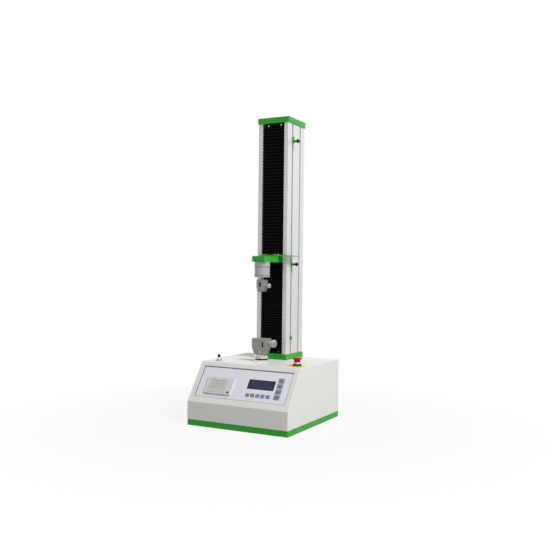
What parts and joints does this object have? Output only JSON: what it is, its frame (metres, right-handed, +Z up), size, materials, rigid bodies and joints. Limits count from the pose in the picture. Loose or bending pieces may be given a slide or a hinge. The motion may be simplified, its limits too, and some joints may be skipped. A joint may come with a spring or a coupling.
{
  "type": "single-column strength tester",
  "caption": "Benchtop strength tester: sloped panel housing, upright column with pleated covers and stops, crosshead with load cell and film grips.",
  "frame": {"origin": "centre of the base plate's underside", "axes": "+X to the right facing the control panel, +Y to the back, +Z up"},
  "size_m": [0.38, 0.4, 1.066],
  "materials": {
    "cream_paint": "fine satin powder coat",
    "green_paint": "gloss enamel",
    "anodised": "satin anodised extrusion",
    "steel": "turned or ground steel",
    "bright_steel": "polished plating",
    "black_rubber": "matte pleated sheet",
    "black_plastic": "fine texture",
    "warm_grey_plastic": "fine texture",
    "lilac_film": "printed film",
    "window": "dark display window",
    "key_grey": "moulded keys",
    "red_plastic": "moulded",
    "yellow_film": "printed disc",
    "paper_white": "paper",
    "board_green": "circuit board"
  },
  "bodies": {
    "machine": {"base_plate": "green_paint", "casing": "cream_paint", "back_panel": "cream_paint", "rear_sockets": "black_plastic", "pedestal": "steel", "power_supply": "anodised", "motor": "black_plastic", "control_panel": "cream_paint", "panel_overlay": "lilac_film", "lcd_window": "window", "display_board": "board_green", "printer_housing": "warm_grey_plastic", "estop_legend": "yellow_film", "estop_collar": "black_plastic", "sensor_gland": "bright_steel", "column_foot": "green_paint", "column_profile": "anodised", "column_cap": "green_paint", "bearing_blocks": "anodised", "guide_rails": "steel", "lower_grip_body": "steel", "grip_post": "bright_steel", "machine_screws": "steel", "upper_cover": "black_rubber", "lower_cover": "black_rubber"},
    "crosshead": {"crosshead_arm": "green_paint", "trip_finger": "green_paint", "crosshead_screws": "bright_steel", "load_cell": "anodised", "upper_grip_body": "steel", "carriage": "anodised", "rail_bearings": "steel", "ball_nut": "steel"},
    "drive_screw": {"ball_screw": "steel", "shaft_coupling": "anodised"},
    "upper_jaw": {"upper_grip_jaw": "steel"},
    "upper_clamp": {"upper_grip_screw": "steel"},
    "lower_jaw": {"lower_grip_jaw": "steel"},
    "lower_clamp": {"lower_grip_screw": "steel"},
    "stop_rod": {"limit_rod": "steel"},
    "stop_high": {"upper_stop": "green_paint"},
    "stop_mid": {"middle_stop": "green_paint"},
    "stop_low": {"lower_stop": "green_paint"},
    "knob_high": {"upper_stop_knob": "black_plastic"},
    "knob_mid": {"middle_stop_knob": "black_plastic"},
    "emergency_button": {"estop_plunger": "anodised"},
    "emergency_head": {"estop_head": "red_plastic"},
    "feed_key": {"feed_button": "black_plastic"},
    "paper_door": {"printer_door": "warm_grey_plastic"},
    "paper": {"paper_roll": "paper_white"},
    "switch_key": {"power_rocker": "black_plastic"},
    "row_press_1": {"row_key_1": "key_grey"},
    "row_press_2": {"row_key_2": "key_grey"},
    "row_press_3": {"row_key_3": "key_grey"},
    "row_press_4": {"row_key_4": "key_grey"},
    "row_press_5": {"row_key_5": "key_grey"},
    "side_press_1": {"side_key_1": "key_grey"},
    "side_press_2": {"side_key_2": "key_grey"},
    "side_press_3": {"side_key_3": "key_grey"},
    "side_press_4": {"side_key_4": "key_grey"}
  },
  "joints": [
    {"name": "crosshead_travel", "type": "slide", "parent": "machine", "child": "crosshead", "axis": [0, 0, 1], "range_m": [-0.018, 0.396], "deforming": ["upper_cover", "lower_cover"]},
    {"name": "drive_screw_turn", "type": "hinge", "parent": "machine", "child": "drive_screw", "pos_m": [-0.015, 0.13, 0.6], "axis": [0, 0, 1], "range_deg": [-14258, 650]},
    {"name": "upper_jaw_slide", "type": "slide", "parent": "crosshead", "child": "upper_jaw", "axis": [-1, 0, 0], "range_m": [0, 0.0018]},
    {"name": "upper_clamp_turn", "type": "hinge", "parent": "upper_jaw", "child": "upper_clamp", "pos_m": [0, -0.008, 0.4685], "axis": [-1, 0, 0], "range_deg": [-8, 440]},
    {"name": "lower_jaw_slide", "type": "slide", "parent": "machine", "child": "lower_jaw", "axis": [1, 0, 0], "range_m": [0, 0.0066]},
    {"name": "lower_clamp_turn", "type": "hinge", "parent": "lower_jaw", "child": "lower_clamp", "pos_m": [0.02, -0.008, 0.2695], "axis": [1, 0, 0], "range_deg": [-20, 1604]},
    {"name": "limit_rod_float", "type": "slide", "parent": "machine", "child": "stop_rod", "axis": [0, 0, 1], "range_m": [-0.003, 0.003], "stiffness_N_per_m": 3000, "springref_m": 0.0007},
    {"name": "upper_stop_slide", "type": "slide", "parent": "stop_rod", "child": "stop_high", "axis": [0, 0, 1], "range_m": [-0.396, 0.04]},
    {"name": "middle_stop_slide", "type": "slide", "parent": "stop_rod", "child": "stop_mid", "axis": [0, 0, 1], "range_m": [-0.229, 0.018]},
    {"name": "lower_stop_slide", "type": "slide", "parent": "stop_rod", "child": "stop_low", "axis": [0, 0, 1], "range_m": [-0.046, 0.23]},
    {"name": "upper_knob_turn", "type": "hinge", "parent": "stop_high", "child": "knob_high", "pos_m": [0.06, 0.0955, 0.982], "axis": [1, 0, 0], "range_deg": [-180, 180]},
    {"name": "middle_knob_turn", "type": "hinge", "parent": "stop_mid", "child": "knob_mid", "pos_m": [0.06, 0.0955, 0.545], "axis": [1, 0, 0], "range_deg": [-180, 180]},
    {"name": "emergency_push", "type": "slide", "parent": "machine", "child": "emergency_button", "axis": [0, 0, -1], "range_m": [0, 0.005]},
    {"name": "emergency_twist", "type": "hinge", "parent": "emergency_button", "child": "emergency_head", "pos_m": [0.15, -0.059, 0.225], "axis": [0, 0, -1], "range_deg": [0, 45], "stiffness_Nm_per_rad": 0.02},
    {"name": "row_key_1_press", "type": "slide", "parent": "machine", "child": "row_press_1", "axis": [0, 0.8198, -0.5726], "range_m": [0, 0.0005], "stiffness_N_per_m": 400, "springref_m": -0.0005},
    {"name": "row_key_2_press", "type": "slide", "parent": "machine", "child": "row_press_2", "axis": [0, 0.8198, -0.5726], "range_m": [0, 0.0005], "stiffness_N_per_m": 400, "springref_m": -0.0005},
    {"name": "row_key_3_press", "type": "slide", "parent": "machine", "child": "row_press_3", "axis": [0, 0.8198, -0.5726], "range_m": [0, 0.0005], "stiffness_N_per_m": 400, "springref_m": -0.0005},
    {"name": "row_key_4_press", "type": "slide", "parent": "machine", "child": "row_press_4", "axis": [0, 0.8198, -0.5726], "range_m": [0, 0.0005], "stiffness_N_per_m": 400, "springref_m": -0.0005},
    {"name": "row_key_5_press", "type": "slide", "parent": "machine", "child": "row_press_5", "axis": [0, 0.8198, -0.5726], "range_m": [0, 0.0005], "stiffness_N_per_m": 400, "springref_m": -0.0005},
    {"name": "side_key_1_press", "type": "slide", "parent": "machine", "child": "side_press_1", "axis": [0, 0.8198, -0.5726], "range_m": [0, 0.0005], "stiffness_N_per_m": 400, "springref_m": -0.0005},
    {"name": "side_key_2_press", "type": "slide", "parent": "machine", "child": "side_press_2", "axis": [0, 0.8198, -0.5726], "range_m": [0, 0.0005], "stiffness_N_per_m": 400, "springref_m": -0.0005},
    {"name": "side_key_3_press", "type": "slide", "parent": "machine", "child": "side_press_3", "axis": [0, 0.8198, -0.5726], "range_m": [0, 0.0005], "stiffness_N_per_m": 400, "springref_m": -0.0005},
    {"name": "side_key_4_press", "type": "slide", "parent": "machine", "child": "side_press_4", "axis": [0, 0.8198, -0.5726], "range_m": [0, 0.0005], "stiffness_N_per_m": 400, "springref_m": -0.0005},
    {"name": "feed_press", "type": "slide", "parent": "machine", "child": "feed_key", "axis": [0, 0.8198, -0.5726], "range_m": [0, 0.001], "stiffness_N_per_m": 300, "springref_m": -0.0005},
    {"name": "paper_door_hinge", "type": "hinge", "parent": "machine", "child": "paper_door", "pos_m": [-0.094, -0.1755, 0.11595], "axis": [1, 0, 0], "range_deg": [0, 90]},
    {"name": "paper_turn", "type": "hinge", "parent": "machine", "child": "paper", "pos_m": [-0.094, -0.13954, 0.11767], "axis": [1, 0, 0], "continuous": true},
    {"name": "switch_rock", "type": "hinge", "parent": "machine", "child": "switch_key", "pos_m": [0.11, 0.1935, 0.083], "axis": [-1, 0, 0], "range_deg": [0, 16]}
  ],
  "couplings": [
    {"joint": "drive_screw_turn", "follows": "crosshead_travel", "rad_per_m": -628.32},
    {"joint": "upper_clamp_turn", "follows": "upper_jaw_slide", "rad_per_m": 4188.8},
    {"joint": "lower_clamp_turn", "follows": "lower_jaw_slide", "rad_per_m": 4188.8}
  ]
}
